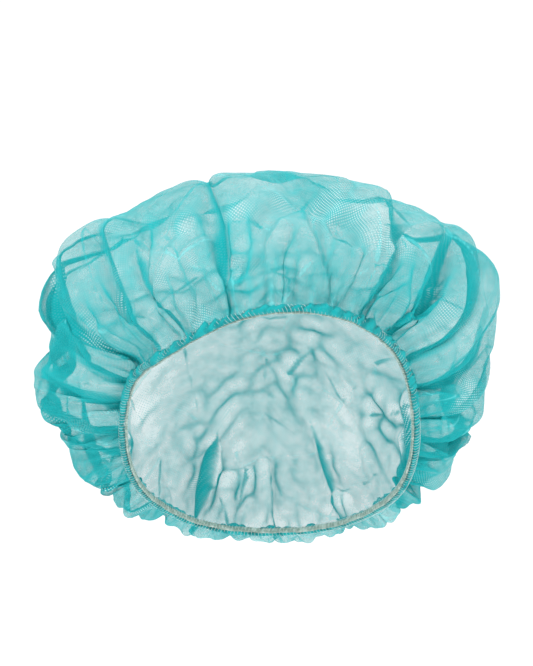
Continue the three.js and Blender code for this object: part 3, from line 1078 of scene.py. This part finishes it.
def make_elastic(context):
    """The flat elastic inside the hem."""
    settings = context.scene.cap_hem
    stations, sides = 720, 10
    gap = 0.0003
    turns, middle, outward, length = along_hem(stations)
    inner = settings.thickness / 2 + gap + settings.elastic_thickness / 2
    wobble = 0.00012 * np.sin(90 * turns) + 0.0002 * np.sin(31 * turns + 1.0)
    places = np.zeros((stations, sides, 3))
    for j in range(sides):
        around = 2 * math.pi * (j + 0.5) / sides
        out = settings.elastic_thickness / 2 * squared(math.cos(around)) - inner
        places[:, j] = middle + outward * out
        places[:, j, 2] += settings.elastic_width / 2 * squared(math.sin(around)) + wobble
    elastic = new_tube("flat_elastic", places, elastic_material(settings))
    set_marks(elastic.data, along=np.repeat(length, sides))
    declare(elastic, "elastic_band")


def stitch_tree(material):
    """Loops of thread at even distances along a curve, each leaning with the last."""
    tree = bpy.data.node_groups.new("overlock_loops", "GeometryNodeTree")
    face = tree.interface
    face.new_socket("Path", in_out="INPUT", socket_type="NodeSocketGeometry")
    sockets = {
        name: face.new_socket(name, in_out="INPUT", socket_type="NodeSocketFloat")
        for name in ("Pitch", "Thread radius", "Half width", "Half height", "Slant", "Inset")}
    face.new_socket("Thread", in_out="OUTPUT", socket_type="NodeSocketGeometry")
    n = Nodes(tree)
    start, end = tree.nodes.new("NodeGroupInput").outputs, tree.nodes.new("NodeGroupOutput")
    along = n.add("GeometryNodeCurveToPoints", {"mode": "LENGTH"}, Curve=start["Path"],
                  Length=start["Pitch"])
    circle = n.add("GeometryNodeCurvePrimitiveCircle", Resolution=18, Radius=1.0)
    size = n.add("ShaderNodeCombineXYZ", X=start["Half width"], Y=start["Half height"], Z=1.0)
    oval = n.add("GeometryNodeTransform", Geometry=circle.outputs[0], Scale=size.outputs[0])
    lean = n.add("ShaderNodeCombineXYZ", X=start["Slant"])
    shift = n.add("ShaderNodeCombineXYZ", X=start["Inset"])
    leant = n.add("GeometryNodeTransform", Geometry=oval.outputs[0], Rotation=lean.outputs[0],
                  Translation=shift.outputs[0])
    thread = n.add("GeometryNodeCurvePrimitiveCircle", Resolution=4, Radius=start["Thread radius"])
    loop = n.add("GeometryNodeCurveToMesh", Curve=leant.outputs[0], Profile_Curve=thread.outputs[0])
    spread = n.add("GeometryNodeInstanceOnPoints", Points=along.outputs["Points"], Instance=loop.outputs[0],
                   Rotation=along.outputs["Rotation"])
    real = n.add("GeometryNodeRealizeInstances", Geometry=spread.outputs[0])
    smooth = n.add("GeometryNodeSetShadeSmooth", Geometry=real.outputs[0])
    finish = n.add("GeometryNodeSetMaterial", Geometry=smooth.outputs[0], Material=material)
    n.fill(end, _0=finish.outputs[0])
    return tree, sockets


def hem_path(context):
    """The hem's mid line as a closed curve object."""
    _, middle, _, _ = along_hem(360)
    path = bpy.data.curves.new("hem_path", "CURVE")
    path.dimensions = "3D"
    spline = path.splines.new("POLY")
    spline.points.add(len(middle) - 1)
    ends = np.ones((len(middle), 1))
    spline.points.foreach_set("co", np.concatenate([to_world(middle), ends], axis=1).ravel())
    spline.use_cyclic_u = True
    carrier = bpy.data.objects.new("hem_path", path)
    context.collection.objects.link(carrier)
    return carrier


def make_stitches(context):
    """The overlock thread round the hem and the elastic."""
    settings, hem = context.scene.cap_stitches, context.scene.cap_hem
    room_beside, room_above = 0.0007, 0.0004
    carrier = hem_path(context)
    tree, sockets = stitch_tree(thread_material(settings))
    loops = carrier.modifiers.new("overlock", "NODES")
    loops.node_group = tree
    values = {
        "Pitch": settings.pitch, "Thread radius": settings.thread_radius, "Slant": settings.slant,
        "Half width": hem.thickness / 2 + hem.elastic_thickness / 2 + room_beside,
        "Half height": hem.height / 2 + room_above,
        "Inset": -hem.elastic_thickness / 2,
    }
    for name, value in values.items():
        loops[sockets[name].identifier] = value
    context.view_layer.update()
    dressed = carrier.evaluated_get(context.evaluated_depsgraph_get())
    mesh = bpy.data.meshes.new_from_object(dressed)
    bpy.data.objects.remove(carrier)
    stitches = bpy.data.objects.new("overlock_stitches", mesh)
    context.collection.objects.link(stitches)
    declare(stitches)


def make_sweep(settings):
    """A pale floor that bends up into a wall behind the cap."""
    front, half_width, wall_top = -2.6, 3.0, 3.5
    depth, bend = 1.6, 0.6
    turns = np.radians(np.arange(6, 91, 6))
    profile = [(front, 0.0), (depth, 0.0)]
    profile += [(depth + bend * math.sin(a), bend * (1 - math.cos(a))) for a in turns]
    profile += [(depth + bend, wall_top)]
    sides = (-half_width, half_width)
    places = np.array([(x, y, z - settings.floor_drop) for y, z in profile for x in sides])
    faces = np.array([(2 * k, 2 * k + 1, 2 * k + 3, 2 * k + 2) for k in range(len(profile) - 1)])
    new_mesh_object("pale_sweep", places, faces, floor_material())


def make_lights(context, settings):
    """Even light from all round, and three soft lamps that face the cap."""
    lamps = (
        # name, place, power, size
        ("key", (-0.7, -1.1, 1.3), 14.0, 0.9),
        ("fill", (1.1, -0.9, 0.6), 5.0, 1.0),
        ("back", (0.2, 1.2, 1.2), 9.0, 0.9),
    )
    world = bpy.data.worlds.new("soft_light")
    world.use_nodes = True
    Nodes(world.node_tree).fill(
        world.node_tree.nodes["Background"], Color=(1.0, 1.0, 1.0, 1.0), Strength=settings.light)
    context.scene.world = world
    for name, place, power, size in lamps:
        lamp = bpy.data.lights.new(name, "AREA")
        lamp.energy, lamp.size = power, size
        holder = bpy.data.objects.new(name, lamp)
        holder.location = place
        holder.rotation_euler = (-Vector(place)).to_track_quat("-Z", "Y").to_euler()
        context.collection.objects.link(holder)


def make_camera(context, settings):
    """A level camera in front of the brow, framed so that the opening's middle falls where it
    does in the photograph."""
    image_width, image_height = 533, 666
    middle_x, middle_y = 269.5, 427.0
    metres_per_pixel = 0.545 * MM
    camera = bpy.data.cameras.new("front_camera")
    camera.sensor_width = 36.0
    camera.lens = camera.sensor_width * settings.distance / (image_height * metres_per_pixel)
    camera.clip_start, camera.clip_end = 0.1, 20.0
    holder = bpy.data.objects.new("front_camera", camera)
    holder.location = (
        (image_width / 2 - middle_x) * metres_per_pixel, -settings.distance,
        (middle_y - image_height / 2) * metres_per_pixel)
    holder.rotation_euler = (math.pi / 2, 0, 0)
    context.collection.objects.link(holder)
    context.scene.camera = holder


def make_stage(context):
    """The floor, the light and the camera."""
    settings = context.scene.cap_stage
    make_sweep(settings)
    make_lights(context, settings)
    make_camera(context, settings)
    # The sheet's layers lie many deep, and light has to pass through all of them.
    context.scene.cycles.transparent_max_bounces = 48
    context.scene.view_settings.view_transform = "Standard"


class CAP_OT_crown(bpy.types.Operator):
    """Crumple the round sheet over the cap's form and gather it into the hem"""
    bl_idname = "hair_cap.crown"
    bl_label = "Puffed Crown"

    def execute(self, context):
        make_crown(context)
        return {"FINISHED"}


class CAP_OT_hem(bpy.types.Operator):
    """Bunch the sheet's edge into the hem"""
    bl_idname = "hair_cap.hem"
    bl_label = "Bunched Hem"

    def execute(self, context):
        make_hem(context)
        return {"FINISHED"}


class CAP_OT_elastic(bpy.types.Operator):
    """Lay the flat elastic inside the hem"""
    bl_idname = "hair_cap.elastic"
    bl_label = "Flat Elastic"

    def execute(self, context):
        make_elastic(context)
        return {"FINISHED"}


class CAP_OT_stitches(bpy.types.Operator):
    """Wind the overlock thread round the hem"""
    bl_idname = "hair_cap.stitches"
    bl_label = "Overlock Stitches"

    def execute(self, context):
        make_stitches(context)
        return {"FINISHED"}


class CAP_OT_stage(bpy.types.Operator):
    """Set up the floor, the light and the camera"""
    bl_idname = "hair_cap.stage"
    bl_label = "Stage"

    def execute(self, context):
        make_stage(context)
        return {"FINISHED"}


class CAP_PT_panel(bpy.types.Panel):
    """Lists the cap's sizes and the steps that build it"""
    bl_idname = "CAP_PT_panel"
    bl_label = "Hair Cap"
    bl_space_type = "VIEW_3D"
    bl_region_type = "UI"
    bl_category = "Hair Cap"

    def draw(self, context):
        for group in SETTINGS:
            box = self.layout.box()
            box.label(text=group)
            settings = getattr(context.scene, group)
            for name in settings.bl_rna.properties.keys():
                if name not in ("rna_type", "name"):
                    box.prop(settings, name)
        for step in STEPS:
            self.layout.operator("hair_cap." + step)


SETTINGS = {
    "cap_sheet": CapSheetSettings,
    "cap_hem": CapHemSettings,
    "cap_stitches": CapStitchSettings,
    "cap_stage": CapStageSettings,
}
STEPS = ("crown", "hem", "elastic", "stitches", "stage")
CLASSES = (
    *SETTINGS.values(), CAP_OT_crown, CAP_OT_hem, CAP_OT_elastic, CAP_OT_stitches, CAP_OT_stage,
    CAP_PT_panel)


def register():
    """Adds the classes and their settings."""
    for cls in CLASSES:
        bpy.utils.register_class(cls)
    for name, group in SETTINGS.items():
        setattr(bpy.types.Scene, name, bpy.props.PointerProperty(type=group))


def unregister():
    """Takes them out again."""
    for name in SETTINGS:
        delattr(bpy.types.Scene, name)
    for cls in reversed(CLASSES):
        bpy.utils.unregister_class(cls)


def main():
    """Builds every piece and the stage."""
    register()
    for step in STEPS:
        getattr(bpy.ops.hair_cap, step)()


if __name__ == "__main__":
    main()
